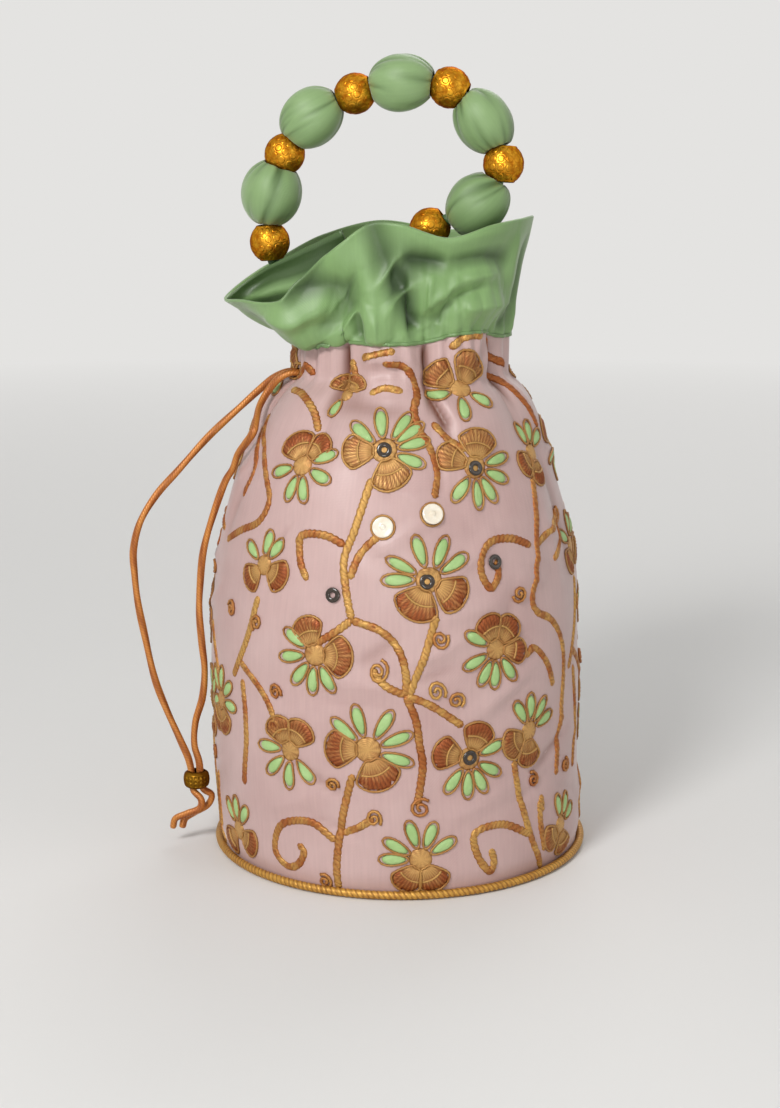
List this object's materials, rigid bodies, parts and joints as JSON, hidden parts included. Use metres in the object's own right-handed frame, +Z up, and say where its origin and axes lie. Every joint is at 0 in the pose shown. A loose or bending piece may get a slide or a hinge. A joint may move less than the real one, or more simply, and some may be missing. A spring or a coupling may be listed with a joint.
{
  "type": "potli bag",
  "caption": "Round-based embroidered cloth pouch with a gathered neck, satin frill, drawcord with stopper bead and a beaded loop handle.",
  "frame": {"origin": "middle of the round base, on the surface the bag stands on", "axes": "+Z up; the embroidered front faces -Y; the drawcord hangs at -X"},
  "size_m": [0.1819, 0.1508, 0.3133],
  "materials": {
    "pink_satin": "dusty pink satin with gold and mint embroidery",
    "green_satin": "soft green satin",
    "green_tube": "green satin tube in shade",
    "lining_cotton": "plain pale green lining",
    "card": "stiff card",
    "gold_cord": "twisted gold piping cord",
    "copper_cord": "shiny copper-gold cord",
    "antique_gold": "antique gold plating over plastic",
    "antique_brass": "dark antique bead",
    "pearl": "pearl white",
    "dark_glaze": "dark glossy ring bead"
  },
  "bodies": {
    "root": {"body_cloth": "pink_satin", "base_panel": "pink_satin", "base_board": "card", "base_piping": "gold_cord", "lining": "lining_cotton", "frill": "green_satin", "channel_cord": "copper_cord", "draw_strand_outer": "copper_cord", "draw_strand_inner": "copper_cord", "stopper_bead": "antique_brass", "handle_tube": "green_tube", "gold_bead_1": "antique_gold", "gold_bead_2": "antique_gold", "gold_bead_3": "antique_gold", "gold_bead_4": "antique_gold", "gold_bead_5": "antique_gold", "gold_bead_6": "antique_gold", "covered_bead_1": "green_satin", "covered_bead_2": "green_satin", "covered_bead_3": "green_satin", "covered_bead_4": "green_satin", "covered_bead_5": "green_satin", "pearl_sequin_1": "pearl", "pearl_sequin_2": "pearl", "ring_bead_1": "dark_glaze", "ring_bead_2": "dark_glaze", "ring_bead_3": "dark_glaze", "ring_bead_4": "dark_glaze", "ring_bead_5": "dark_glaze", "ring_bead_6": "dark_glaze"}
  },
  "joints": []
}
